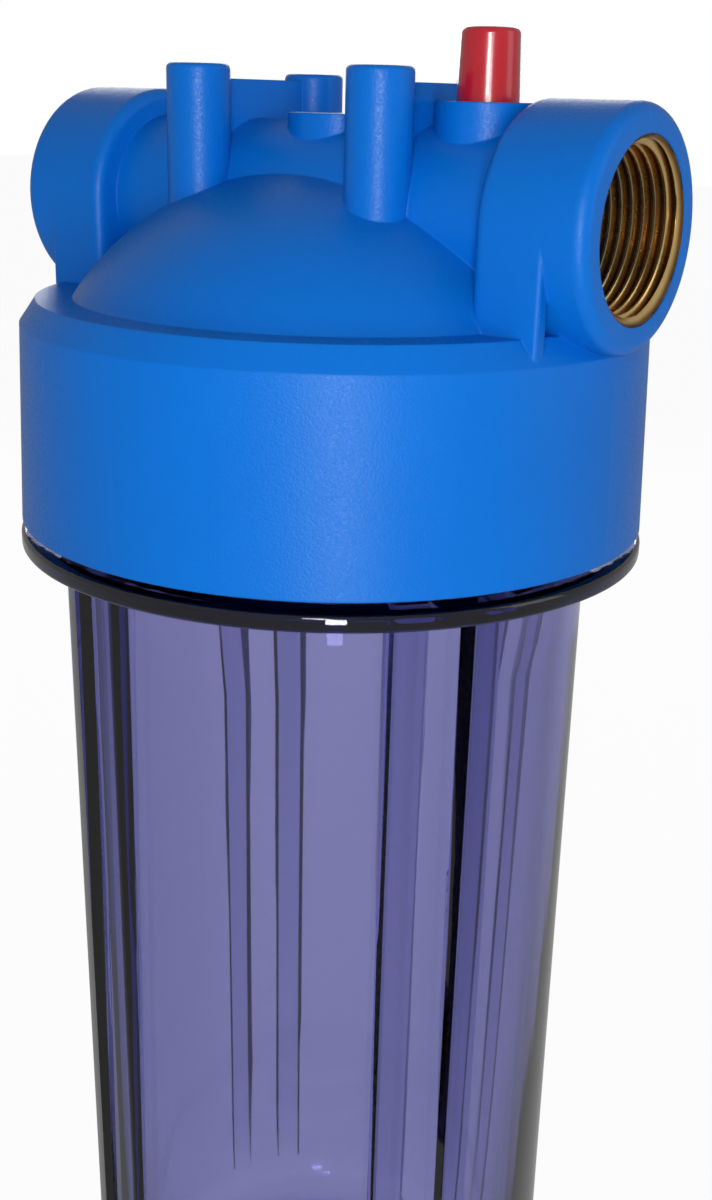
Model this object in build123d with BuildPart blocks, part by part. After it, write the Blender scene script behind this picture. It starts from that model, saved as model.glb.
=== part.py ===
from build123d import *
import math
import os

os.makedirs("parts", exist_ok=True)

# Water filter housing: a blue moulded head with two threaded ports, and a clear ribbed bowl.
# Millimetres. The origin is the centre of the bowl's foot. +X runs to the inlet port, +Y to the back.

# Skirt and shoulder of the head, heights measured from the skirt's lower edge
skirt_base_z = 226.0
skirt_r = 66.0
skirt_draft = 1.2
skirt_h = 40.1
shoulder_width = 3.2
shoulder_rise = 4.7

# Dome of the head, a flattened ellipse turned about the axis
dome_inset = 4.3
dome_h = 48.2
dome_centre_drop = 16.85
dome_wall = 5.5

# Bore of the skirt, which takes the neck of the bowl, and the seat of its seal
skirt_wall = 5.1
skirt_lead_in = 1.2
seat_drop = 5.35
seat_width = 10.2

# Ports and the pipe that joins them
port_drop = 8.65
pipe_r = 17.0
channel_r = 12.0
boss_r = 22.4
boss_length = 22.3
boss_overhang = 2.5
boss_round = 2.6
boss_step_round = 2.2
saddle_edge_round = 0.8
saddle_inset = 4.4
saddle_wall = 3.0

# Brass thread inserts, one in each port
thread_minor_r = 15.145
thread_bevel = 1.655
insert_wall = 2.2
insert_length = 18.5
insert_groove_depth = 1.1
insert_groove_width = 3.0
insert_slots = 12
insert_slot_width = 2.4
lip_depth = 1.4
lip_gap = 0.2

# Spigot that seals on the filter cartridge, and the window to the water space
spigot_r = 17.0
spigot_drop = 5.75
spigot_chamfer = 2.0
window_x = 31.0
window_r = 9.0
channel_wall = 5.5

# Bracket columns, with a pilot hole down each, and the webs between them
column_x = 22.1
front_column_y = -17.5
front_column_r = 6.35
front_column_rise = 27.3
rear_column_y = 20.0
rear_column_r = 6.3
rear_column_drop = 1.3
column_round = 1.0
pilot_r = 1.75
pilot_depth = 15.0
web_wall = 3.0
web_drop = 1.4

# Round pad on the crest of the pipe
pad_r = 10.4
pad_rise = 18.5

# Pressure release valve
valve_x = 34.5
valve_boss_r = 9.8
valve_boss_rise = 21.4
valve_floor_wall = 2.4
valve_seat_r = 4.6
button_r = 5.9
button_taper = 0.4
button_h = 13.1
button_insertion = 3.4
button_wall = 1.3
button_crown = 1.8
button_round = 1.1
button_socket_r = 2.7
button_socket_h = 5.0
button_travel = 2.5
button_end_gap = 1.0
stem_r = 1.5
stem_head_r = 3.7
stem_head_h = 1.2
spring_r = 3.55
spring_wire_r = 0.35
spring_turns = 7

# Clear bowl
flange_proud = 0.3
flange_top_gap = 2.45
flange_h = 3.4
flange_round = 0.8
bowl_wall = 4.2
bowl_draft = 0.6
bowl_floor = 4.5
bowl_corner = 10.0
foot_margin = 16.3
foot_recess = 1.5
foot_recess_slope = 2.5
neck_clearance = 2.3
neck_chamfer = 1.0
rib_pair_angles = (-30.1, 67.7, 146.3, 247.7)
rib_pair_gap = 16.4
rib_crest_width = 5.8
rib_flank_slope = 0.47
rib_top_h = 3.2
rib_foot_h = 1.0
rib_foot_z = 13.0
locator_r = 13.5
locator_wall = 2.2
locator_h = 7.0

# Seal ring of the bowl, in a groove in its rim
seal_wire_r = 1.9
seal_groove_r_gap = 0.6
seal_stand_proud = 0.6

# Clearances
fit_gap = 0.05
running_gap = 0.1
seal_gap = 0.1
moving_gap = 0.3
rim_gap = 0.7

# Places worked out from the sizes above
skirt_top_r = skirt_r - skirt_draft
shoulder_r = skirt_top_r - shoulder_width
dome_r = skirt_top_r - dome_inset
skirt_bore_r = skirt_r - skirt_wall
water_r = skirt_bore_r - seat_width
dome_centre_h = skirt_h - dome_centre_drop
port_axis_h = dome_centre_h + dome_h - port_drop
seat_h = skirt_h - seat_drop
spigot_end_h = seat_h - spigot_drop
front_column_top_h = port_axis_h + front_column_rise
rear_column_top_h = front_column_top_h - rear_column_drop
web_top_h = rear_column_top_h - web_drop
pad_top_h = port_axis_h + pad_rise
valve_boss_top_h = port_axis_h + valve_boss_rise
port_z = skirt_base_z + port_axis_h
seat_z = skirt_base_z + seat_h
dome_centre_z = skirt_base_z + dome_centre_h
shoulder_z = skirt_base_z + skirt_h + shoulder_rise
boss_outer_x = skirt_r + boss_overhang
boss_inner_x = boss_outer_x - boss_length
saddle_outer_x = skirt_top_r - saddle_inset
thread_mouth_r = thread_minor_r + thread_bevel
insert_r = thread_mouth_r + insert_wall
lip_r = thread_mouth_r + lip_gap
insert_outer_x = boss_outer_x - lip_depth
insert_inner_x = insert_outer_x - insert_length
rim_z = seat_z - rim_gap
flange_top_z = skirt_base_z - flange_top_gap
flange_base_z = flange_top_z - flange_h
flange_r = skirt_r + flange_proud
neck_r = skirt_bore_r - neck_clearance
bowl_top_r = water_r + bowl_wall
bowl_foot_r = bowl_top_r - bowl_draft
bowl_inner_foot_r = bowl_foot_r - bowl_wall
foot_r = bowl_foot_r - foot_margin
seal_mean_r = (water_r + neck_r) / 2
valve_boss_top_z = skirt_base_z + valve_boss_top_h
valve_well_depth = button_insertion + button_travel + button_end_gap
valve_well_z = valve_boss_top_z - valve_well_depth
valve_seat_z = valve_well_z - valve_floor_wall
valve_well_r = button_r + moving_gap
button_top_r = button_r - button_taper
button_base_z = valve_boss_top_z - button_insertion
button_top_z = valve_boss_top_z + button_h
button_ceiling_z = button_top_z - button_crown
valve_seal_wire_r = (stem_head_r - stem_r) / 2 - fit_gap
valve_seal_mean_r = stem_r + fit_gap + valve_seal_wire_r
valve_seal_z = valve_seat_z - seal_gap - valve_seal_wire_r
stem_head_top_z = valve_seal_z - valve_seal_wire_r - fit_gap
seal_groove_half = seal_wire_r + seal_groove_r_gap
seal_z = rim_z + seal_stand_proud - seal_wire_r
seal_groove_z = seal_z - seal_wire_r - fit_gap

port_plane = Plane.YZ
row_section = Plane.XZ


def ellipse_radius(height, half_width, half_height):
    """Half width of an ellipse at a height above its centre."""
    return half_width * math.sqrt(1 - (height / half_height) ** 2)


# Brass insert, turned with a retaining groove and keyed with slots, moulded into each port
def make_insert(side):
    """The insert of the port on one side: 1 for +X, -1 for -X."""
    middle_x = (insert_outer_x + insert_inner_x) / 2
    with BuildPart() as insert:
        with BuildSketch(row_section):
            with BuildLine():
                Polyline(
                    (insert_inner_x, port_z + thread_minor_r),
                    (insert_inner_x, port_z + insert_r),
                    (middle_x - insert_groove_width / 2, port_z + insert_r),
                    (middle_x - insert_groove_width / 2, port_z + insert_r - insert_groove_depth),
                    (middle_x + insert_groove_width / 2, port_z + insert_r - insert_groove_depth),
                    (middle_x + insert_groove_width / 2, port_z + insert_r),
                    (insert_outer_x, port_z + insert_r),
                    (insert_outer_x, port_z + thread_mouth_r),
                    (insert_outer_x - thread_bevel, port_z + thread_minor_r),
                    close=True,
                )
            make_face()
        port_axis = Axis((0, 0, port_z), (1, 0, 0))
        revolve(axis=port_axis)
        with BuildSketch(port_plane.offset(insert_inner_x)):
            with Locations((0, port_z)):
                with PolarLocations(insert_r, insert_slots):
                    Rectangle(2 * insert_groove_depth, insert_slot_width)
        extrude(amount=middle_x - insert_inner_x, mode=Mode.SUBTRACT)
    return insert.part if side > 0 else insert.part.mirror(Plane.YZ)


inlet_insert = make_insert(1)
inlet_insert.label = "inlet_insert"
export_step(inlet_insert, "parts/inlet_insert.step")

outlet_insert = make_insert(-1)
outlet_insert.label = "outlet_insert"
export_step(outlet_insert, "parts/outlet_insert.step")


# Port boss, with the upright saddle walls that carry it on the shoulder. It is part of the head
with BuildPart() as port_boss:
    with BuildSketch(port_plane.offset(boss_inner_x)):
        with Locations((0, port_z)):
            Circle(boss_r)
    extrude(amount=boss_outer_x - boss_inner_x)
    saddle_middle_x = (boss_inner_x + saddle_outer_x) / 2
    saddle_y = boss_r - saddle_wall / 2
    with BuildSketch(Plane.XY.offset(skirt_base_z + skirt_h)) as saddle_walls:
        with Locations((saddle_middle_x, saddle_y), (saddle_middle_x, -saddle_y)):
            Rectangle(saddle_outer_x - boss_inner_x, saddle_wall)
        saddle_corners = [v for v in saddle_walls.vertices()
                          if abs(v.X - saddle_outer_x) < fit_gap and abs(abs(v.Y) - boss_r) < fit_gap]
        fillet(saddle_corners, saddle_edge_round)
    extrude(amount=port_axis_h - skirt_h)
    port_rim = port_boss.edges().filter_by(GeomType.CIRCLE).sort_by(Axis.X)[-1]
    fillet(port_rim, boss_round)
    step_arc = [e for e in port_boss.edges().filter_by(GeomType.CIRCLE)
                if abs(e.center().X - boss_inner_x) < fit_gap and e.center().Z > port_z]
    step_lines = [e for e in port_boss.edges().filter_by(Axis.Z)
                  if abs(e.center().X - boss_inner_x) < fit_gap
                  and abs(abs(e.center().Y) - boss_r) < fit_gap]
    fillet(step_arc + step_lines, boss_step_round)


# Head: one moulding with the skirt, the dome, the port pipe and the bracket columns
with BuildPart() as head:
    # Outer form, turned about the axis
    dome_base_r = ellipse_radius(shoulder_z - dome_centre_z, dome_r, dome_h)
    dome_start = math.degrees(math.asin((shoulder_z - dome_centre_z) / dome_h))
    with BuildSketch(row_section):
        with BuildLine():
            Polyline(
                (0, skirt_base_z),
                (skirt_r, skirt_base_z),
                (skirt_top_r, skirt_base_z + skirt_h),
                (shoulder_r, shoulder_z),
                (dome_base_r, shoulder_z),
            )
            EllipticalCenterArc((0, dome_centre_z), dome_r, dome_h, dome_start, arc_size=90 - dome_start)
            Line((0, dome_centre_z + dome_h), (0, skirt_base_z))
        make_face()
    revolve(axis=Axis.Z)

    # Port bosses on both sides
    add(port_boss.part)
    mirror(port_boss.part, about=Plane.YZ)

    # Bracket columns and their webs
    with BuildSketch(Plane.XY.offset(dome_centre_z)):
        with Locations((column_x, front_column_y), (-column_x, front_column_y)):
            Circle(front_column_r)
    extrude(amount=front_column_top_h - dome_centre_h)
    with BuildSketch(Plane.XY.offset(dome_centre_z)):
        with Locations((column_x, rear_column_y), (-column_x, rear_column_y)):
            Circle(rear_column_r)
    extrude(amount=rear_column_top_h - dome_centre_h)
    with BuildSketch(Plane.XY.offset(dome_centre_z)):
        with Locations((column_x, front_column_y), (-column_x, front_column_y)):
            Rectangle(web_wall, rear_column_y - front_column_y, align=(Align.CENTER, Align.MIN))
    extrude(amount=web_top_h - dome_centre_h)

    # Water space under the dome and the bore of the skirt
    space_r = water_r / math.sqrt(1 - ((seat_h - dome_centre_h) / (dome_h - dome_wall)) ** 2)
    space_start = math.degrees(math.asin((seat_h - dome_centre_h) / (dome_h - dome_wall)))
    with BuildSketch(row_section):
        with BuildLine():
            Polyline(
                (0, dome_centre_z + dome_h - dome_wall),
                (0, skirt_base_z),
                (skirt_bore_r + skirt_lead_in, skirt_base_z),
                (skirt_bore_r, skirt_base_z + skirt_lead_in),
                (skirt_bore_r, seat_z),
                (water_r, seat_z),
            )
            EllipticalCenterArc(
                (0, dome_centre_z), space_r, dome_h - dome_wall, space_start, arc_size=90 - space_start
            )
        make_face()
    revolve(axis=Axis.Z, mode=Mode.SUBTRACT)

    # Pipe between the ports, the spigot below it, the pad and the valve boss on it
    with BuildSketch(port_plane.offset(-boss_inner_x)):
        with Locations((0, port_z)):
            Circle(pipe_r)
    extrude(amount=2 * boss_inner_x)
    with BuildSketch(Plane.XY.offset(skirt_base_z + spigot_end_h)):
        Circle(spigot_r)
    extrude(amount=port_axis_h - spigot_end_h)
    spigot_edge = [e for e in head.edges().filter_by(GeomType.CIRCLE)
                   if abs(e.center().Z - skirt_base_z - spigot_end_h) < fit_gap]
    chamfer(spigot_edge, spigot_chamfer)
    with BuildSketch(Plane.XY.offset(port_z)):
        Circle(pad_r)
    extrude(amount=pad_top_h - port_axis_h)
    with BuildSketch(Plane.XY.offset(port_z)):
        with Locations((valve_x, 0)):
            Circle(valve_boss_r)
    extrude(amount=valve_boss_top_h - port_axis_h)

    # Inserts, bore of each port and its lip
    add(inlet_insert, mode=Mode.SUBTRACT)
    add(outlet_insert, mode=Mode.SUBTRACT)
    for side in (1, -1):
        insert_core_r = (thread_mouth_r + insert_r - insert_groove_depth) / 2
        with BuildSketch(port_plane.offset(side * insert_inner_x)):
            with Locations((0, port_z)):
                Circle(insert_core_r)
        extrude(amount=side * insert_length, mode=Mode.SUBTRACT)
        with BuildSketch(port_plane.offset(side * insert_outer_x)):
            with Locations((0, port_z)):
                Circle(lip_r)
        extrude(amount=side * lip_depth, mode=Mode.SUBTRACT)

    # Inlet channel and its window down to the water space
    inlet_end_x = channel_r + channel_wall
    with BuildSketch(port_plane.offset(inlet_end_x)):
        with Locations((0, port_z)):
            Circle(channel_r)
    extrude(amount=insert_inner_x - inlet_end_x, mode=Mode.SUBTRACT)
    with BuildSketch(Plane.XY.offset(port_z)):
        with Locations((window_x, 0)):
            Circle(window_r)
    extrude(amount=-pipe_r, mode=Mode.SUBTRACT)

    # Outlet channel, which turns down through the spigot
    with BuildSketch(port_plane.offset(-insert_inner_x)):
        with Locations((0, port_z)):
            Circle(channel_r)
    extrude(amount=insert_inner_x, mode=Mode.SUBTRACT)
    with BuildSketch(Plane.XY.offset(port_z)):
        Circle(channel_r)
    extrude(amount=spigot_end_h - port_axis_h, mode=Mode.SUBTRACT)

    # Well, stem bore and seat of the release valve
    with BuildSketch(Plane.XY.offset(valve_boss_top_z)):
        with Locations((valve_x, 0)):
            Circle(valve_well_r)
    extrude(amount=-valve_well_depth, mode=Mode.SUBTRACT)
    with BuildSketch(Plane.XY.offset(valve_well_z)):
        with Locations((valve_x, 0)):
            Circle(stem_r + running_gap)
    extrude(amount=-valve_well_depth, mode=Mode.SUBTRACT)
    with BuildSketch(Plane.XY.offset(valve_seat_z)):
        with Locations((valve_x, 0)):
            Circle(valve_seat_r)
    extrude(amount=-valve_well_depth, mode=Mode.SUBTRACT)

    # Pilot holes in the columns
    with BuildSketch(Plane.XY.offset(skirt_base_z + front_column_top_h)):
        with Locations((column_x, front_column_y), (-column_x, front_column_y)):
            Circle(pilot_r)
    extrude(amount=-pilot_depth, mode=Mode.SUBTRACT)
    with BuildSketch(Plane.XY.offset(skirt_base_z + rear_column_top_h)):
        with Locations((column_x, rear_column_y), (-column_x, rear_column_y)):
            Circle(pilot_r)
    extrude(amount=-pilot_depth, mode=Mode.SUBTRACT)

    # Rounded rims of the columns
    column_rims = [e for e in head.edges().filter_by(GeomType.CIRCLE)
                   if e.center().Z > skirt_base_z + rear_column_top_h - fit_gap
                   and min(abs(e.radius - front_column_r), abs(e.radius - rear_column_r)) < fit_gap]
    fillet(column_rims, column_round)

head.part.label = "head"
export_step(head.part, "parts/head.step")


# Clear bowl: one moulding with its neck, flange, wall, wrench ribs and foot
with BuildPart() as bowl:
    with BuildSketch(row_section):
        with BuildLine():
            Polyline(
                (0, foot_recess),
                (foot_r, foot_recess),
                (foot_r + foot_recess_slope, 0),
                (bowl_foot_r - bowl_corner, 0),
            )
            RadiusArc((bowl_foot_r - bowl_corner, 0), (bowl_foot_r, bowl_corner), -bowl_corner)
            Polyline(
                (bowl_foot_r, bowl_corner),
                (bowl_top_r, flange_base_z),
                (flange_r, flange_base_z),
                (flange_r, flange_top_z),
                (neck_r, flange_top_z),
                (neck_r, rim_z),
                (water_r, rim_z),
                (bowl_inner_foot_r, bowl_corner),
            )
            inner_corner = bowl_corner - bowl_floor
            RadiusArc(
                (bowl_inner_foot_r, bowl_corner),
                (bowl_inner_foot_r - inner_corner, bowl_floor),
                inner_corner,
            )
            Line((bowl_inner_foot_r - inner_corner, bowl_floor), (0, bowl_floor))
            Line((0, bowl_floor), (0, foot_recess))
        make_face()
    revolve(axis=Axis.Z)

    # Groove for the seal ring
    with BuildSketch(Plane.XY.offset(seal_groove_z)):
        Circle(seal_mean_r + seal_groove_half)
        Circle(seal_mean_r - seal_groove_half, mode=Mode.SUBTRACT)
    extrude(amount=rim_z - seal_groove_z, mode=Mode.SUBTRACT)

    # Ring that centres the foot of the cartridge
    with BuildSketch(Plane.XY.offset(bowl_floor)):
        Circle(locator_r)
        Circle(locator_r - locator_wall, mode=Mode.SUBTRACT)
    extrude(amount=locator_h)

    # Rounded edges of the flange and the neck
    circles = bowl.edges().filter_by(GeomType.CIRCLE)
    flange_rims = [e for e in circles if abs(e.radius - flange_r) < fit_gap]
    fillet(flange_rims, flange_round)
    neck_rim = [e for e in bowl.edges().filter_by(GeomType.CIRCLE)
                if abs(e.radius - neck_r) < fit_gap and e.center().Z > flange_top_z + neck_chamfer]
    chamfer(neck_rim, neck_chamfer)

    # Grip ribs down the wall, in pairs, higher toward the flange
    rib_root_r = bowl_foot_r - bowl_wall / 2
    for pair_angle in rib_pair_angles:
        for angle in (pair_angle - rib_pair_gap / 2, pair_angle + rib_pair_gap / 2):
            for crest_r, height in (
                (bowl_foot_r + rib_foot_h, rib_foot_z),
                (bowl_top_r + rib_top_h, flange_base_z),
            ):
                root_half = rib_crest_width / 2 + rib_flank_slope * (crest_r - rib_root_r)
                with BuildSketch(Plane.XY.offset(height).rotated((0, 0, angle))):
                    with BuildLine():
                        Polyline(
                            (rib_root_r, -root_half),
                            (crest_r, -rib_crest_width / 2),
                            (crest_r, rib_crest_width / 2),
                            (rib_root_r, root_half),
                            close=True,
                        )
                    make_face()
            loft()

bowl.part.label = "bowl"
export_step(bowl.part, "parts/bowl.step")


# Seal ring of the bowl
with BuildPart() as bowl_seal:
    with BuildSketch(row_section):
        with Locations((seal_mean_r, seal_z)):
            Circle(seal_wire_r)
    revolve(axis=Axis.Z)

bowl_seal.part.label = "bowl_seal"
export_step(bowl_seal.part, "parts/bowl_seal.step")


# Release button: a hollow red cap with a socket for the stem
valve_axis = Axis((valve_x, 0, 0), (0, 0, 1))
with BuildPart() as release_button:
    with BuildSketch(row_section):
        with BuildLine():
            Polyline(
                (valve_x, button_top_z),
                (valve_x + button_top_r, button_top_z),
                (valve_x + button_r, valve_boss_top_z + button_wall),
                (valve_x + button_r, button_base_z),
                (valve_x + button_r - button_wall, button_base_z),
                (valve_x + button_r - button_wall, valve_boss_top_z),
                (valve_x + button_top_r - button_wall, button_ceiling_z),
                (valve_x + button_socket_r, button_ceiling_z),
                (valve_x + button_socket_r, button_ceiling_z - button_socket_h),
                (valve_x, button_ceiling_z - button_socket_h),
                close=True,
            )
        make_face()
    revolve(axis=valve_axis)
    with BuildSketch(Plane.XY.offset(button_ceiling_z)):
        with Locations((valve_x, 0)):
            Circle(stem_r)
    extrude(amount=-button_socket_h, mode=Mode.SUBTRACT)
    crown = release_button.edges().filter_by(GeomType.CIRCLE).group_by(Axis.Z)[-1]
    fillet(crown, button_round)

release_button.part.label = "release_button"
export_step(release_button.part, "parts/release_button.step")


# Stem of the valve, with the head that carries its seal
with BuildPart() as valve_stem:
    with BuildSketch(Plane.XY.offset(stem_head_top_z)):
        with Locations((valve_x, 0)):
            Circle(stem_head_r)
    extrude(amount=-stem_head_h)
    with BuildSketch(Plane.XY.offset(stem_head_top_z)):
        with Locations((valve_x, 0)):
            Circle(stem_r)
    extrude(amount=button_ceiling_z - stem_head_top_z)

valve_stem.part.label = "valve_stem"
export_step(valve_stem.part, "parts/valve_stem.step")


# Seal ring of the valve
with BuildPart() as valve_seal:
    with BuildSketch(row_section):
        with Locations((valve_x + valve_seal_mean_r, valve_seal_z)):
            Circle(valve_seal_wire_r)
    revolve(axis=valve_axis)

valve_seal.part.label = "valve_seal"
export_step(valve_seal.part, "parts/valve_seal.step")


# Spring that lifts the button
spring_low_z = valve_well_z + spring_wire_r + fit_gap
spring_high_z = button_ceiling_z - spring_wire_r - fit_gap
with BuildPart() as valve_spring:
    with BuildLine() as coil:
        Helix(
            pitch=(spring_high_z - spring_low_z) / spring_turns,
            height=spring_high_z - spring_low_z,
            radius=spring_r,
            center=(valve_x, 0, spring_low_z),
        )
    with BuildSketch(Plane(origin=coil.line @ 0, z_dir=coil.line % 0)):
        Circle(spring_wire_r)
    sweep(path=coil.line)

valve_spring.part.label = "valve_spring"
export_step(valve_spring.part, "parts/valve_spring.step")
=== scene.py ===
import math

import bmesh
import bpy
from mathutils import Matrix, Vector


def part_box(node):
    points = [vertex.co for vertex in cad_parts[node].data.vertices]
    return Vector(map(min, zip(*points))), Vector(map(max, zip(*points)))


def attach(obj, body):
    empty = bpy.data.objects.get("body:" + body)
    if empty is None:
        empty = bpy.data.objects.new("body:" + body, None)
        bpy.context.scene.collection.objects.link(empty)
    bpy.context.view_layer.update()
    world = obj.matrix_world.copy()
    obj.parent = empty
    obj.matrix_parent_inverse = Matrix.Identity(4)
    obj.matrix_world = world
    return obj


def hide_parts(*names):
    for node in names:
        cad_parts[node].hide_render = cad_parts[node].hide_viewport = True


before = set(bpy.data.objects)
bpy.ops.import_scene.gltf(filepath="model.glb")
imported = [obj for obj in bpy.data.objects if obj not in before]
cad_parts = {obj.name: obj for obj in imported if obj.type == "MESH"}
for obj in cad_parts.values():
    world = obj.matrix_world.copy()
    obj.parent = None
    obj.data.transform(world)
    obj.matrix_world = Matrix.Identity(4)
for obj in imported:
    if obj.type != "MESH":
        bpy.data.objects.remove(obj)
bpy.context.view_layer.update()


# Head: one blue polypropylene moulding with its skirt, dome, port bosses and columns.
# It comes out of a lightly textured mould, so all of it has a fine satin grain.
def satin_grain():
    """A node group: a moulded grain as a bump over slightly rounded corners, and as a speckle."""
    group = bpy.data.node_groups.new("satin_grain", "ShaderNodeTree")
    group.interface.new_socket("Vector", in_out="INPUT", socket_type="NodeSocketVector")
    group.interface.new_socket("Normal", in_out="OUTPUT", socket_type="NodeSocketVector")
    group.interface.new_socket("Speckle", in_out="OUTPUT", socket_type="NodeSocketFloat")
    nodes, links = group.nodes, group.links
    entry = nodes.new("NodeGroupInput")
    fine = nodes.new("ShaderNodeTexNoise")
    fine.inputs["Scale"].default_value = 2200
    fine.inputs["Detail"].default_value = 1.5
    links.new(entry.outputs["Vector"], fine.inputs["Vector"])
    corners = nodes.new("ShaderNodeBevel")
    corners.samples = 4
    corners.inputs["Radius"].default_value = 0.0006
    bump = nodes.new("ShaderNodeBump")
    bump.inputs["Strength"].default_value = 0.5
    bump.inputs["Distance"].default_value = 0.00010
    links.new(fine.outputs["Fac"], bump.inputs["Height"])
    links.new(corners.outputs["Normal"], bump.inputs["Normal"])
    leave = nodes.new("NodeGroupOutput")
    links.new(bump.outputs["Normal"], leave.inputs["Normal"])
    links.new(fine.outputs["Fac"], leave.inputs["Speckle"])
    return group


grain_group = satin_grain()
blue_plastic = bpy.data.materials.new("blue_plastic")
blue_plastic.use_nodes = True
nodes, links = blue_plastic.node_tree.nodes, blue_plastic.node_tree.links
shader = nodes["Principled BSDF"]
shader.inputs["Specular IOR Level"].default_value = 0.22
place = nodes.new("ShaderNodeTexCoord")
grain = nodes.new("ShaderNodeGroup")
grain.node_tree = grain_group
links.new(place.outputs["Object"], grain.inputs["Vector"])
flow = nodes.new("ShaderNodeTexNoise")
flow.inputs["Scale"].default_value = 30
flow.inputs["Detail"].default_value = 4
links.new(place.outputs["Object"], flow.inputs["Vector"])
blue = nodes.new("ShaderNodeMix")
blue.data_type = "RGBA"
blue.inputs["A"].default_value = (0.0, 0.145, 0.600, 1)
blue.inputs["B"].default_value = (0.0, 0.175, 0.700, 1)
links.new(flow.outputs["Fac"], blue.inputs["Factor"])
links.new(blue.outputs["Result"], shader.inputs["Base Color"])
satin = nodes.new("ShaderNodeMapRange")
satin.inputs["From Min"].default_value = 0.3
satin.inputs["From Max"].default_value = 0.7
satin.inputs["To Min"].default_value = 0.30
satin.inputs["To Max"].default_value = 0.48
links.new(grain.outputs["Speckle"], satin.inputs["Value"])
links.new(satin.outputs["Result"], shader.inputs["Roughness"])
links.new(grain.outputs["Normal"], shader.inputs["Normal"])

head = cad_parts["head"]
head.data.materials.clear()
head.data.materials.append(blue_plastic)
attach(head, "head")

# Thread of the head: a coarse internal thread of the same moulding, inside the skirt.
# The bowl screws into it from below.
skirt_base_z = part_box("head")[0].z
skirt_bore_r = 0.0609
thread_pitch = 0.006
thread_turns = 4.5
head_thread_crest_r = 0.0590
thread_root_half = 0.0016
thread_crest_half = 0.0007
head_thread_z = skirt_base_z + 0.0036


def screw_ridge(name, root_r, crest_r, start_z):
    """One coarse thread ridge wound upward about the Z axis, its ends run out into the wall."""
    bpy.ops.object.select_all(action="DESELECT")
    bpy.ops.mesh.primitive_plane_add(size=1, location=(0, 0, 0), rotation=(math.pi / 2, 0, 0))
    ridge = bpy.context.object
    ridge.name = name
    bpy.ops.object.transform_apply(rotation=True)
    for corner in ridge.data.vertices:
        at_crest = corner.co.x > 0
        half = thread_crest_half if at_crest else thread_root_half
        corner.co = (crest_r if at_crest else root_r, 0, start_z + math.copysign(half, corner.co.z))
    winding = ridge.modifiers.new("winding", "SCREW")
    winding.axis = "Z"
    winding.angle = 2 * math.pi
    winding.screw_offset = thread_pitch
    winding.iterations = math.ceil(thread_turns)
    winding.steps = 120
    winding.render_steps = 120
    winding.use_merge_vertices = True
    winding.merge_threshold = 0.00001
    bpy.ops.object.modifier_apply(modifier=winding.name)
    top_z = start_z + thread_pitch * thread_turns
    for point in ridge.data.vertices:
        r = math.hypot(point.co.x, point.co.y)
        run_in = (point.co.z - start_z) / (thread_pitch / 6)
        run_out = (top_z - point.co.z) / (thread_pitch / 6)
        left = max(0.0, min(1.0, run_in, run_out))
        kept = root_r + (r - root_r) * left
        point.co.x *= kept / r
        point.co.y *= kept / r
    bpy.ops.object.mode_set(mode="EDIT")
    bpy.ops.mesh.select_all(action="SELECT")
    bpy.ops.mesh.normals_make_consistent(inside=False)
    bpy.ops.object.mode_set(mode="OBJECT")
    bpy.ops.object.shade_smooth_by_angle(angle=math.radians(25))
    return ridge


head_thread = screw_ridge("head_thread", skirt_bore_r + 0.0003, head_thread_crest_r, head_thread_z)
head_thread.data.materials.append(blue_plastic)
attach(head_thread, "head")

# Port inserts: turned brass rings with an internal pipe thread, moulded into the two bosses.
# Each has a bevelled mouth and a retaining groove round its outside.
insert_low, insert_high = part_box("inlet_insert")
port_z = (insert_low.z + insert_high.z) / 2
insert_r = (insert_high.z - insert_low.z) / 2
seat_length = insert_high.x - insert_low.x
insert_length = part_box("head")[1].x - 0.0002 - insert_low.x
pipe_minor_r = 0.015145
pipe_major_r = 0.016625
pipe_pitch = 0.002309
mouth_r = 0.0168
bore_relief = 0.00008

brass = bpy.data.materials.new("brass")
brass.use_nodes = True
nodes, links = brass.node_tree.nodes, brass.node_tree.links
shader = nodes["Principled BSDF"]
shader.inputs["Metallic"].default_value = 1
place = nodes.new("ShaderNodeTexCoord")
tarnish = nodes.new("ShaderNodeTexNoise")
tarnish.inputs["Scale"].default_value = 260
tarnish.inputs["Detail"].default_value = 5
links.new(place.outputs["Object"], tarnish.inputs["Vector"])
split = nodes.new("ShaderNodeSeparateXYZ")
links.new(place.outputs["Object"], split.inputs["Vector"])
depth_z = nodes.new("ShaderNodeMath")
depth_z.operation = "SUBTRACT"
depth_z.inputs[1].default_value = port_z
links.new(split.outputs["Z"], depth_z.inputs[0])
across = nodes.new("ShaderNodeCombineXYZ")
links.new(split.outputs["Y"], across.inputs["X"])
links.new(depth_z.outputs["Value"], across.inputs["Y"])
from_axis = nodes.new("ShaderNodeVectorMath")
from_axis.operation = "LENGTH"
links.new(across.outputs["Vector"], from_axis.inputs[0])
# Painted shade: the brass is painted darker the farther it lies from the bore's axis, so the thread roots, the mouth's
# bevel and the outer faces come out dark brown. The random tarnish is added on top of that.
thread_root_shade = nodes.new("ShaderNodeMapRange")
thread_root_shade.inputs["From Min"].default_value = pipe_minor_r + 0.0008
thread_root_shade.inputs["From Max"].default_value = pipe_major_r
links.new(from_axis.outputs["Value"], thread_root_shade.inputs["Value"])
tarnish_and_root_shade = nodes.new("ShaderNodeMath")
tarnish_and_root_shade.operation = "MULTIPLY_ADD"
tarnish_and_root_shade.inputs[1].default_value = 0.35
links.new(tarnish.outputs["Fac"], tarnish_and_root_shade.inputs[0])
links.new(thread_root_shade.outputs["Result"], tarnish_and_root_shade.inputs[2])
brass_colour = nodes.new("ShaderNodeValToRGB")
brass_colour.color_ramp.elements[0].position = 0.2
brass_colour.color_ramp.elements[0].color = (0.80, 0.56, 0.23, 1)
brass_colour.color_ramp.elements[1].position = 1.0
brass_colour.color_ramp.elements[1].color = (0.22, 0.105, 0.03, 1)
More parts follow.
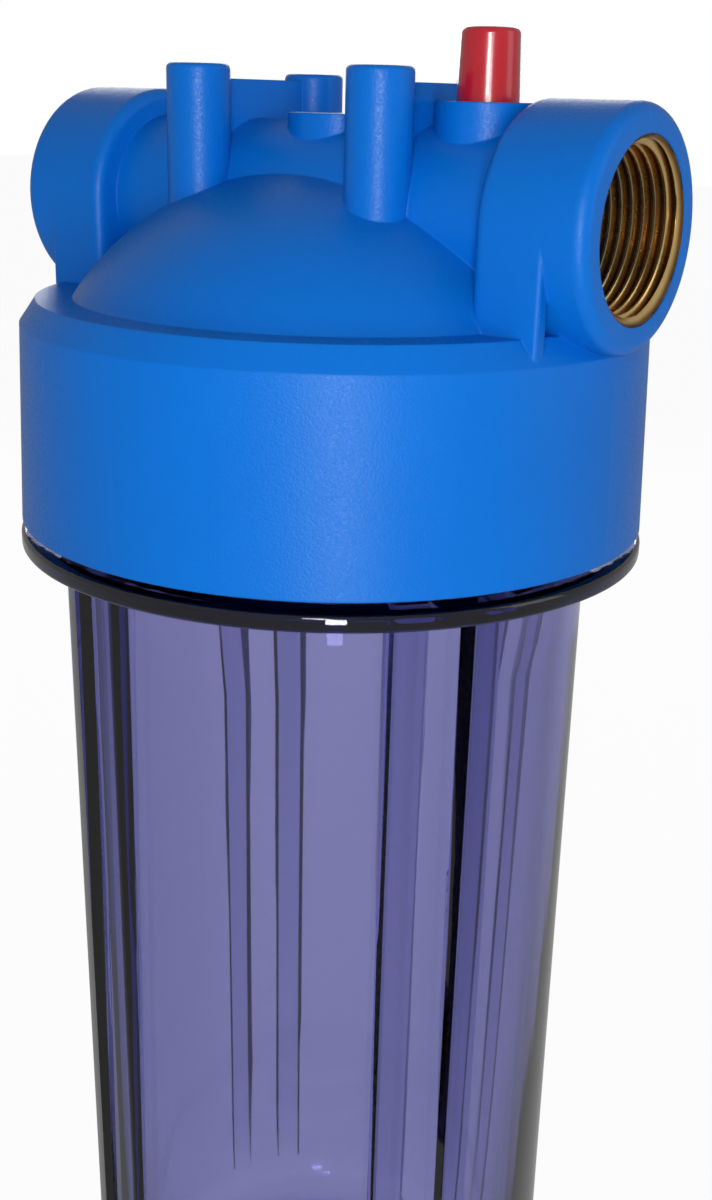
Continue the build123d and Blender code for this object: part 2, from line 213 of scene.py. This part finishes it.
links.new(tarnish_and_root_shade.outputs["Value"], brass_colour.inputs["Fac"])
links.new(brass_colour.outputs["Color"], shader.inputs["Base Color"])
turned = nodes.new("ShaderNodeMapRange")
turned.inputs["To Min"].default_value = 0.20
turned.inputs["To Max"].default_value = 0.36
links.new(tarnish.outputs["Fac"], turned.inputs["Value"])
links.new(turned.outputs["Result"], shader.inputs["Roughness"])
tool_marks = nodes.new("ShaderNodeBump")
tool_marks.inputs["Strength"].default_value = 0.15
tool_marks.inputs["Distance"].default_value = 0.00003
links.new(tarnish.outputs["Fac"], tool_marks.inputs["Height"])
links.new(tool_marks.outputs["Normal"], shader.inputs["Normal"])

# The ring is turned lying on the Z axis, its mouth up, from a half section.
ring_section = [
    (pipe_major_r + bore_relief, 0), (insert_r, 0), (insert_r, insert_length * 0.42),
    (insert_r - 0.0011, insert_length * 0.42), (insert_r - 0.0011, insert_length * 0.58),
    (insert_r, insert_length * 0.58), (insert_r, seat_length), (mouth_r + 0.00018, seat_length),
    (mouth_r + 0.00018, insert_length - 0.0001), (mouth_r + 0.0001, insert_length), (mouth_r, insert_length),
    (mouth_r - 0.00002, insert_length - 0.0002), (pipe_major_r + bore_relief, insert_length - 0.0008),
]
bpy.ops.object.select_all(action="DESELECT")
bpy.ops.mesh.primitive_circle_add(vertices=144, radius=ring_section[0][0])
inlet_ring = bpy.context.object
inlet_ring.name = "inlet_insert_ring"
bpy.ops.object.mode_set(mode="EDIT")
bpy.ops.mesh.select_all(action="SELECT")
for (r, z), (next_r, next_z) in zip(ring_section, ring_section[1:] + ring_section[:1]):
    bpy.ops.mesh.extrude_region_move(TRANSFORM_OT_translate={"value": (0, 0, next_z - z)})
    bpy.ops.transform.resize(value=(next_r / r, next_r / r, 1), center_override=(0, 0, next_z))
bpy.ops.mesh.select_all(action="SELECT")
bpy.ops.mesh.remove_doubles(threshold=0.000005)
bpy.ops.mesh.normals_make_consistent(inside=False)
bpy.ops.object.mode_set(mode="OBJECT")
bpy.ops.object.shade_smooth_by_angle(angle=math.radians(30))

# The thread is one tooth's outline wound up the bore, then opened out to the bevel at the mouth.
tooth = []
for step in range(12):
    swing = 0.5 - 0.5 * math.cos(2 * math.pi * step / 12)
    tooth.append(pipe_minor_r + (pipe_major_r - pipe_minor_r) * min(1, max(0, 1.25 * swing - 0.125)))
bpy.ops.object.select_all(action="DESELECT")
bpy.ops.mesh.primitive_grid_add(x_subdivisions=1, y_subdivisions=12, size=1)
inlet_thread = bpy.context.object
inlet_thread.name = "inlet_insert_thread"
bpy.ops.object.mode_set(mode="EDIT")
bpy.ops.mesh.select_all(action="DESELECT")
edit = bmesh.from_edit_mesh(inlet_thread.data)
for corner in edit.verts:
    corner.select = corner.co.x > 0
bpy.ops.mesh.delete(type="VERT")
edit = bmesh.from_edit_mesh(inlet_thread.data)
for corner in edit.verts:
    step = round((corner.co.y + 0.5) * 12)
    corner.co = (tooth[step % 12], 0, (step / 12 - 2) * pipe_pitch)
bmesh.update_edit_mesh(inlet_thread.data)
bpy.ops.object.mode_set(mode="OBJECT")
winding = inlet_thread.modifiers.new("winding", "SCREW")
winding.axis = "Z"
winding.angle = 2 * math.pi
winding.screw_offset = pipe_pitch
winding.iterations = math.ceil(insert_length / pipe_pitch) + 3
winding.steps = 144
winding.render_steps = 144
winding.use_merge_vertices = True
winding.merge_threshold = 0.00001
bpy.ops.object.modifier_apply(modifier=winding.name)
bpy.ops.object.mode_set(mode="EDIT")
for cut_z, way in ((insert_length - 0.00002, 1), (0.00002, -1)):
    bpy.ops.mesh.select_all(action="SELECT")
    bpy.ops.mesh.bisect(plane_co=(0, 0, cut_z), plane_no=(0, 0, way), clear_outer=True)
bpy.ops.object.mode_set(mode="OBJECT")
for point in inlet_thread.data.vertices:
    r = math.hypot(point.co.x, point.co.y)
    bevel_r = mouth_r - (insert_length - point.co.z)
    opened = max(r, bevel_r)
    point.co.x *= opened / r
    point.co.y *= opened / r
bpy.ops.object.mode_set(mode="EDIT")
bpy.ops.mesh.select_all(action="SELECT")
bpy.ops.mesh.normals_make_consistent(inside=True)
bpy.ops.object.mode_set(mode="OBJECT")
bpy.ops.object.shade_smooth_by_angle(angle=math.radians(40))

bpy.ops.object.select_all(action="DESELECT")
inlet_ring.select_set(True)
inlet_thread.select_set(True)
bpy.context.view_layer.objects.active = inlet_ring
bpy.ops.object.join()
inlet_ring.data.transform(
    Matrix.Translation((insert_low.x, 0, port_z)) @ Matrix.Rotation(math.pi / 2, 4, "Y")
)
inlet_ring.data.materials.append(brass)
outlet_ring = inlet_ring.copy()
outlet_ring.data = inlet_ring.data.copy()
outlet_ring.name = "outlet_insert_ring"
bpy.context.scene.collection.objects.link(outlet_ring)
outlet_ring.data.transform(Matrix.Rotation(math.pi, 4, "Z"))
for ring, node in ((inlet_ring, "inlet_insert"), (outlet_ring, "outlet_insert")):
    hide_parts(node)
    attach(ring, "head")

# Release valve: a glossy red push cap on a steel stem, with a rubber ring and a steel spring
# under it. The cap is moulded, the stem is pressed into its socket.
red_plastic = bpy.data.materials.new("red_plastic")
red_plastic.use_nodes = True
nodes, links = red_plastic.node_tree.nodes, red_plastic.node_tree.links
shader = nodes["Principled BSDF"]
shader.inputs["Coat Weight"].default_value = 0.3
shader.inputs["Coat Roughness"].default_value = 0.08
place = nodes.new("ShaderNodeTexCoord")
flow = nodes.new("ShaderNodeTexNoise")
flow.inputs["Scale"].default_value = 220
links.new(place.outputs["Object"], flow.inputs["Vector"])
red = nodes.new("ShaderNodeMix")
red.data_type = "RGBA"
red.inputs["A"].default_value = (0.46, 0.006, 0.016, 1)
red.inputs["B"].default_value = (0.56, 0.014, 0.028, 1)
links.new(flow.outputs["Fac"], red.inputs["Factor"])
links.new(red.outputs["Result"], shader.inputs["Base Color"])
gloss = nodes.new("ShaderNodeMapRange")
gloss.inputs["To Min"].default_value = 0.16
gloss.inputs["To Max"].default_value = 0.30
links.new(flow.outputs["Fac"], gloss.inputs["Value"])
links.new(gloss.outputs["Result"], shader.inputs["Roughness"])
shrink = nodes.new("ShaderNodeBump")
shrink.inputs["Strength"].default_value = 0.2
shrink.inputs["Distance"].default_value = 0.0001
links.new(flow.outputs["Fac"], shrink.inputs["Height"])
links.new(shrink.outputs["Normal"], shader.inputs["Normal"])

black_rubber = bpy.data.materials.new("black_rubber")
black_rubber.use_nodes = True
nodes, links = black_rubber.node_tree.nodes, black_rubber.node_tree.links
shader = nodes["Principled BSDF"]
place = nodes.new("ShaderNodeTexCoord")
bloom = nodes.new("ShaderNodeTexNoise")
bloom.inputs["Scale"].default_value = 400
bloom.inputs["Detail"].default_value = 3
links.new(place.outputs["Object"], bloom.inputs["Vector"])
black = nodes.new("ShaderNodeMix")
black.data_type = "RGBA"
black.inputs["A"].default_value = (0.010, 0.010, 0.011, 1)
black.inputs["B"].default_value = (0.022, 0.022, 0.024, 1)
links.new(bloom.outputs["Fac"], black.inputs["Factor"])
links.new(black.outputs["Result"], shader.inputs["Base Color"])
matt = nodes.new("ShaderNodeMapRange")
matt.inputs["To Min"].default_value = 0.42
matt.inputs["To Max"].default_value = 0.62
links.new(bloom.outputs["Fac"], matt.inputs["Value"])
links.new(matt.outputs["Result"], shader.inputs["Roughness"])

steel = bpy.data.materials.new("steel")
steel.use_nodes = True
nodes, links = steel.node_tree.nodes, steel.node_tree.links
shader = nodes["Principled BSDF"]
shader.inputs["Metallic"].default_value = 1
place = nodes.new("ShaderNodeTexCoord")
drawn = nodes.new("ShaderNodeTexNoise")
drawn.inputs["Scale"].default_value = 900
links.new(place.outputs["Object"], drawn.inputs["Vector"])
grey = nodes.new("ShaderNodeMix")
grey.data_type = "RGBA"
grey.inputs["A"].default_value = (0.50, 0.50, 0.51, 1)
grey.inputs["B"].default_value = (0.62, 0.62, 0.62, 1)
links.new(drawn.outputs["Fac"], grey.inputs["Factor"])
links.new(grey.outputs["Result"], shader.inputs["Base Color"])
polish = nodes.new("ShaderNodeMapRange")
polish.inputs["To Min"].default_value = 0.22
polish.inputs["To Max"].default_value = 0.38
links.new(drawn.outputs["Fac"], polish.inputs["Value"])
links.new(polish.outputs["Result"], shader.inputs["Roughness"])

for node, body, finish, slot in (
    ("release_button", "button", red_plastic, "red_plastic"),
    ("valve_stem", "button", steel, "steel"),
    ("valve_seal", "button", black_rubber, "black_rubber"),
    ("valve_spring", "head", steel, "steel"),
):
    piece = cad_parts[node]
    piece.data.materials.clear()
    piece.data.materials.append(finish)
    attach(piece, body)

# Seal ring: a round rubber ring that lies in the groove of the bowl's rim.
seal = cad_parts["bowl_seal"]
seal.data.materials.clear()
seal.data.materials.append(black_rubber)
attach(seal, "seal_ring")

# Bowl: one clear moulding, faintly violet, with a flange, a threaded neck that screws into the
# skirt, and grip ribs in pairs down its wall. Inside it is smooth, as its core left it.
bowl_low, bowl_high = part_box("bowl")
rim_z = bowl_high.z
flange_r = skirt_bore_r + 0.0051 + 0.0003
flange_top_z = skirt_base_z - 0.00245
flange_h = 0.0034
flange_round = 0.0008
flange_base_z = flange_top_z - flange_h
neck_r = skirt_bore_r - 0.0023
neck_chamfer = 0.001
bore_top_r = 0.0507
wall = 0.0042
wall_draft = 0.0006
wall_top_r = bore_top_r + wall
wall_foot_r = wall_top_r - wall_draft
bore_foot_r = wall_foot_r - wall
floor_h = 0.0045
foot_corner = 0.010
foot_r = wall_foot_r - 0.0163
foot_recess = 0.0015
foot_slope = 0.0025
root_round = 0.0006
seal_groove_mean_r = (bore_top_r + neck_r) / 2
seal_groove_half = 0.0025
seal_groove_depth = 0.0033
locator_r = 0.0135
locator_wall = 0.0022
locator_h = 0.007
rib_pair_angles = (-30.1, 67.7, 146.3, 247.7)
rib_pair_gap = 16.4
rib_crest_width = 0.0058
rib_flank_slope = 0.47
rib_top_h = 0.0032
rib_foot_h = 0.0010
rib_foot_z = 0.013
bowl_thread_crest_r = 0.0605
bowl_thread_z = head_thread_z - thread_pitch / 2
around = 720


def quarter(centre_r, centre_z, radius, start, end, count):
    """Points of an arc in the bowl's half section, from one angle to another in degrees."""
    angles = [math.radians(start + (end - start) * k / count) for k in range(count + 1)]
    return [(centre_r + radius * math.cos(a), centre_z + radius * math.sin(a)) for a in angles]


section = [(0.002, foot_recess), (foot_r - 0.0004, foot_recess), (foot_r, foot_recess - 0.0002)]
section += [(foot_r + foot_slope - 0.0004, 0.0002), (foot_r + foot_slope, 0)]
section += quarter(wall_foot_r - foot_corner, foot_corner, foot_corner, -90, 0, 10)
wall_rings = 12
for k in range(1, wall_rings + 1):
    share = k / wall_rings
    section.append((
        wall_foot_r + wall_draft * share,
        foot_corner + (flange_base_z - root_round - foot_corner) * share,
    ))
section += quarter(wall_top_r + root_round, flange_base_z - root_round, root_round, 180, 90, 3)[1:]
section += [(rib_crest_width + wall_top_r, flange_base_z)]
section += quarter(flange_r - flange_round, flange_base_z + flange_round, flange_round, -90, 0, 4)
section += quarter(flange_r - flange_round, flange_top_z - flange_round, flange_round, 0, 90, 4)
section.append((neck_r + 0.0003, flange_top_z))
neck_rings = 64
for k in range(neck_rings + 1):
    section.append((neck_r, flange_top_z + 0.0003 + (rim_z - neck_chamfer - flange_top_z - 0.0003) * k / neck_rings))
section += [(neck_r - neck_chamfer, rim_z)]
section += [(seal_groove_mean_r + seal_groove_half, rim_z)]
section += [(seal_groove_mean_r + seal_groove_half, rim_z - seal_groove_depth)]
section += [(seal_groove_mean_r - seal_groove_half, rim_z - seal_groove_depth)]
section += [(seal_groove_mean_r - seal_groove_half, rim_z)]
section += [(bore_top_r + 0.0004, rim_z), (bore_top_r, rim_z - 0.0004)]
section += quarter(bore_foot_r - foot_corner + floor_h, foot_corner, foot_corner - floor_h, 0, -90, 8)
section += [(locator_r, floor_h), (locator_r, floor_h + locator_h - 0.0003), (locator_r - 0.0003, floor_h + locator_h)]
section += [(locator_r - locator_wall + 0.0003, floor_h + locator_h)]
section += [(locator_r - locator_wall, floor_h + locator_h - 0.0003), (locator_r - locator_wall, floor_h), (0.002, floor_h)]

bpy.ops.object.select_all(action="DESELECT")
bpy.ops.mesh.primitive_circle_add(
    vertices=around, radius=section[0][0], fill_type="TRIFAN", location=(0, 0, section[0][1])
)
bowl = bpy.context.object
bowl.name = "clear_bowl"
bpy.ops.object.transform_apply(location=True)
bpy.ops.object.mode_set(mode="EDIT")
bpy.ops.mesh.select_all(action="DESELECT")
bpy.ops.mesh.select_mode(type="EDGE")
bpy.ops.mesh.select_non_manifold(extend=False)
for (r, z), (next_r, next_z) in zip(section, section[1:]):
    bpy.ops.mesh.extrude_edges_move(TRANSFORM_OT_translate={"value": (0, 0, next_z - z)})
    bpy.ops.transform.resize(value=(next_r / r, next_r / r, 1), center_override=(0, 0, next_z))
bpy.ops.mesh.edge_face_add()
bpy.ops.object.mode_set(mode="OBJECT")

rib_angles = [
    math.radians(pair + side * rib_pair_gap / 2) for pair in rib_pair_angles for side in (-1, 1)
]
for point in bowl.data.vertices:
    x, y, z = point.co
    r = math.hypot(x, y)
    angle = math.atan2(y, x)
    on_wall = rib_foot_z - 0.0001 < z < flange_base_z + 0.0001 and wall_foot_r - 0.0001 < r < wall_top_r + 0.0045
    on_neck = flange_top_z + 0.0004 < z < rim_z - neck_chamfer - 0.0001 and abs(r - neck_r) < 0.00001
    if on_wall:
        share = min(1, (z - rib_foot_z) / (flange_base_z - rib_foot_z))
        crest_r = wall_foot_r + rib_foot_h + (wall_top_r + rib_top_h - wall_foot_r - rib_foot_h) * share
        for rib in rib_angles:
            off = abs((angle - rib + math.pi) % (2 * math.pi) - math.pi) * r
            flank_r = crest_r - max(0, off - rib_crest_width / 2) / rib_flank_slope
            if flank_r > r:
                point.co.x *= flank_r / r
                point.co.y *= flank_r / r
    elif on_neck:
        turn = (z - bowl_thread_z) / thread_pitch - angle / (2 * math.pi)
        wound = round(turn) + angle / (2 * math.pi)
        away = abs(turn - round(turn)) * thread_pitch
        slope = (thread_root_half - away) / (thread_root_half - thread_crest_half)
        run = min(1, max(0, 6 * wound), max(0, 6 * (thread_turns - wound)))
        lift = (bowl_thread_crest_r - neck_r) * min(1, max(0, slope)) * run
        point.co.x *= (r + lift) / r
        point.co.y *= (r + lift) / r
bpy.ops.object.mode_set(mode="EDIT")
bpy.ops.mesh.select_mode(type="VERT")
bpy.ops.mesh.select_all(action="SELECT")
bpy.ops.mesh.normals_make_consistent(inside=False)
bpy.ops.object.mode_set(mode="OBJECT")
bpy.ops.object.shade_smooth_by_angle(angle=math.radians(28))

clear_plastic = bpy.data.materials.new("clear_plastic")
clear_plastic.use_nodes = True
nodes, links = clear_plastic.node_tree.nodes, clear_plastic.node_tree.links
shader = nodes["Principled BSDF"]
shader.inputs["Transmission Weight"].default_value = 1
shader.inputs["IOR"].default_value = 1.57
place = nodes.new("ShaderNodeTexCoord")
stretch = nodes.new("ShaderNodeMapping")
stretch.inputs["Scale"].default_value = (1, 1, 0.02)
links.new(place.outputs["Object"], stretch.inputs["Vector"])
draw = nodes.new("ShaderNodeTexNoise")
draw.inputs["Scale"].default_value = 130
links.new(stretch.outputs["Vector"], draw.inputs["Vector"])
polish = nodes.new("ShaderNodeMapRange")
polish.inputs["To Min"].default_value = 0.01
polish.inputs["To Max"].default_value = 0.035
links.new(draw.outputs["Fac"], polish.inputs["Value"])
links.new(polish.outputs["Result"], shader.inputs["Roughness"])
sweep = nodes.new("ShaderNodeBump")
sweep.inputs["Strength"].default_value = 0.3
sweep.inputs["Distance"].default_value = 0.0001
links.new(draw.outputs["Fac"], sweep.inputs["Height"])
links.new(sweep.outputs["Normal"], shader.inputs["Normal"])
depth_tint = nodes.new("ShaderNodeVolumeAbsorption")
depth_tint.inputs["Color"].default_value = (0.030, 0.035, 0.540, 1)
depth_tint.inputs["Density"].default_value = 178
links.new(depth_tint.outputs["Volume"], nodes["Material Output"].inputs["Volume"])
bowl.data.materials.append(clear_plastic)
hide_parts("bowl")
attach(bowl, "bowl")

# Stage: a pale floor, soft lamps and the camera of the picture. The housing hangs by its head,
# so the floor lies low enough for the bowl to come down as it is unscrewed.
bpy.ops.object.select_all(action="DESELECT")
bowl_clearance = thread_turns * thread_pitch + 0.003
bpy.ops.mesh.primitive_plane_add(size=12, location=(0, 0, bowl_low.z - bowl_clearance))
floor = bpy.context.object
floor.name = "floor"
photo_side = math.radians(36.696)
dim_sides = bpy.data.node_groups.new("dim_sides", "ShaderNodeTree")
dim_sides.interface.new_socket("Direction", in_out="INPUT", socket_type="NodeSocketVector")
dim_sides.interface.new_socket("Level", in_out="OUTPUT", socket_type="NodeSocketFloat")
nodes, links = dim_sides.nodes, dim_sides.links
entry = nodes.new("NodeGroupInput")
unit = nodes.new("ShaderNodeVectorMath")
unit.operation = "NORMALIZE"
links.new(entry.outputs["Direction"], unit.inputs[0])
sideways = nodes.new("ShaderNodeVectorMath")
sideways.operation = "DOT_PRODUCT"
sideways.inputs[1].default_value = (math.cos(photo_side), math.sin(photo_side), 0)
links.new(unit.outputs["Vector"], sideways.inputs[0])
off_axis = nodes.new("ShaderNodeMath")
off_axis.operation = "ABSOLUTE"
links.new(sideways.outputs["Value"], off_axis.inputs[0])
fall = nodes.new("ShaderNodeMapRange")
fall.interpolation_type = "SMOOTHSTEP"
fall.inputs["From Min"].default_value = 0.60
fall.inputs["From Max"].default_value = 0.95
fall.inputs["To Min"].default_value = 1.0
fall.inputs["To Max"].default_value = 0.35
links.new(off_axis.outputs["Value"], fall.inputs["Value"])
leave = nodes.new("NodeGroupOutput")
links.new(fall.outputs["Result"], leave.inputs["Level"])
pale = bpy.data.materials.new("pale_floor")
pale.use_nodes = True
nodes, links = pale.node_tree.nodes, pale.node_tree.links
matt = nodes["Principled BSDF"]
matt.inputs["Base Color"].default_value = (0.9, 0.9, 0.9, 1)
matt.inputs["Roughness"].default_value = 0.9
glow = nodes.new("ShaderNodeEmission")
place = nodes.new("ShaderNodeTexCoord")
dimmed = nodes.new("ShaderNodeGroup")
dimmed.node_tree = dim_sides
links.new(place.outputs["Object"], dimmed.inputs["Direction"])
seen_by = nodes.new("ShaderNodeLightPath")
through = nodes.new("ShaderNodeMath")
through.operation = "MULTIPLY"
links.new(dimmed.outputs["Level"], through.inputs[0])
links.new(seen_by.outputs["Is Transmission Ray"], through.inputs[1])
glow_level = nodes.new("ShaderNodeMath")
glow_level.operation = "ADD"
links.new(seen_by.outputs["Is Camera Ray"], glow_level.inputs[0])
links.new(through.outputs["Value"], glow_level.inputs[1])
mirrored = nodes.new("ShaderNodeMath")
mirrored.operation = "MULTIPLY_ADD"
mirrored.inputs[1].default_value = 0.42
links.new(seen_by.outputs["Is Glossy Ray"], mirrored.inputs[0])
links.new(glow_level.outputs["Value"], mirrored.inputs[2])
links.new(mirrored.outputs["Value"], glow.inputs["Strength"])
seen = nodes.new("ShaderNodeMath")
seen.operation = "MAXIMUM"
links.new(seen_by.outputs["Is Camera Ray"], seen.inputs[0])
links.new(seen_by.outputs["Is Transmission Ray"], seen.inputs[1])
shown = nodes.new("ShaderNodeMath")
shown.operation = "MAXIMUM"
links.new(seen.outputs["Value"], shown.inputs[0])
links.new(seen_by.outputs["Is Glossy Ray"], shown.inputs[1])
share = nodes.new("ShaderNodeMath")
share.operation = "MULTIPLY"
share.inputs[1].default_value = 0.95
links.new(shown.outputs["Value"], share.inputs[0])
floor_mix = nodes.new("ShaderNodeMixShader")
links.new(share.outputs[0], floor_mix.inputs[0])
links.new(matt.outputs[0], floor_mix.inputs[1])
links.new(glow.outputs[0], floor_mix.inputs[2])
links.new(floor_mix.outputs[0], nodes["Material Output"].inputs["Surface"])
floor.data.materials.append(pale)

room = bpy.data.worlds.new("room")
bpy.context.scene.world = room
room.use_nodes = True
nodes, links = room.node_tree.nodes, room.node_tree.links
ambient = nodes["Background"]
ambient.inputs["Color"].default_value = (1, 1, 1, 1)
seen_by = nodes.new("ShaderNodeLightPath")
sky = nodes.new("ShaderNodeTexCoord")
dimmed = nodes.new("ShaderNodeGroup")
dimmed.node_tree = dim_sides
links.new(sky.outputs["Generated"], dimmed.inputs["Direction"])
through = nodes.new("ShaderNodeMath")
through.operation = "MULTIPLY"
links.new(dimmed.outputs["Level"], through.inputs[0])
links.new(seen_by.outputs["Is Transmission Ray"], through.inputs[1])
mirrored = nodes.new("ShaderNodeMath")
mirrored.operation = "MULTIPLY_ADD"
mirrored.inputs[1].default_value = 0.42
links.new(seen_by.outputs["Is Glossy Ray"], mirrored.inputs[0])
links.new(through.outputs["Value"], mirrored.inputs[2])
straight = nodes.new("ShaderNodeMath")
straight.operation = "ADD"
links.new(mirrored.outputs["Value"], straight.inputs[0])
links.new(seen_by.outputs["Is Camera Ray"], straight.inputs[1])
level = nodes.new("ShaderNodeMath")
level.operation = "MAXIMUM"
level.inputs[1].default_value = 0.22
links.new(straight.outputs["Value"], level.inputs[0])
links.new(level.outputs["Value"], ambient.inputs["Strength"])



def soft_lamp(name, azimuth, elevation, distance, width, height, power, aim=(0, 0, 0.25)):
    """A soft lamp. Its azimuth runs from the camera's side toward the right of the picture."""
    turn = photo_side + math.radians(azimuth)
    rise = math.radians(elevation)
    away = Vector((math.sin(turn) * math.cos(rise), -math.cos(turn) * math.cos(rise), math.sin(rise)))
    spot = Vector(aim) + away * distance
    data = bpy.data.lights.new(name, "AREA")
    data.shape = "RECTANGLE"
    data.size = width
    data.size_y = height
    data.energy = power
    lamp = bpy.data.objects.new(name, data)
    lamp.visible_camera = False
    bpy.context.scene.collection.objects.link(lamp)
    lamp.matrix_world = Matrix.Translation(spot) @ (-away).to_track_quat("-Z", "Y").to_matrix().to_4x4()


soft_lamp("flash", -4, 19, 0.34, 0.05, 0.05, 0.32, aim=(0, 0, skirt_base_z))
soft_lamp("front_strip", 2, -4, 0.85, 0.10, 0.42, 2.6)
soft_lamp("right_soft", 75, 15, 1.2, 0.5, 0.9, 1.5)
soft_lamp("back_soft", 180, 15, 1.2, 0.8, 0.5, 4)

camera_data = bpy.data.cameras.new("camera")
camera_data.sensor_fit = "VERTICAL"
camera_data.sensor_height = 36
camera_data.lens = 44.91
camera_data.clip_start = 0.01
camera = bpy.data.objects.new("camera", camera_data)
bpy.context.scene.collection.objects.link(camera)
camera_distance = 0.31565
camera.matrix_world = (
    Matrix.Translation((
        camera_distance * math.sin(photo_side), -camera_distance * math.cos(photo_side), skirt_base_z + 0.08508,
    ))
    @ Matrix.Rotation(photo_side - math.radians(1.03), 4, "Z")
    @ Matrix.Rotation(math.radians(90 - 18.68), 4, "X")
    @ Matrix.Rotation(math.radians(1.43), 4, "Z")
)
bpy.context.scene.camera = camera
bpy.context.scene.view_settings.view_transform = "Standard"
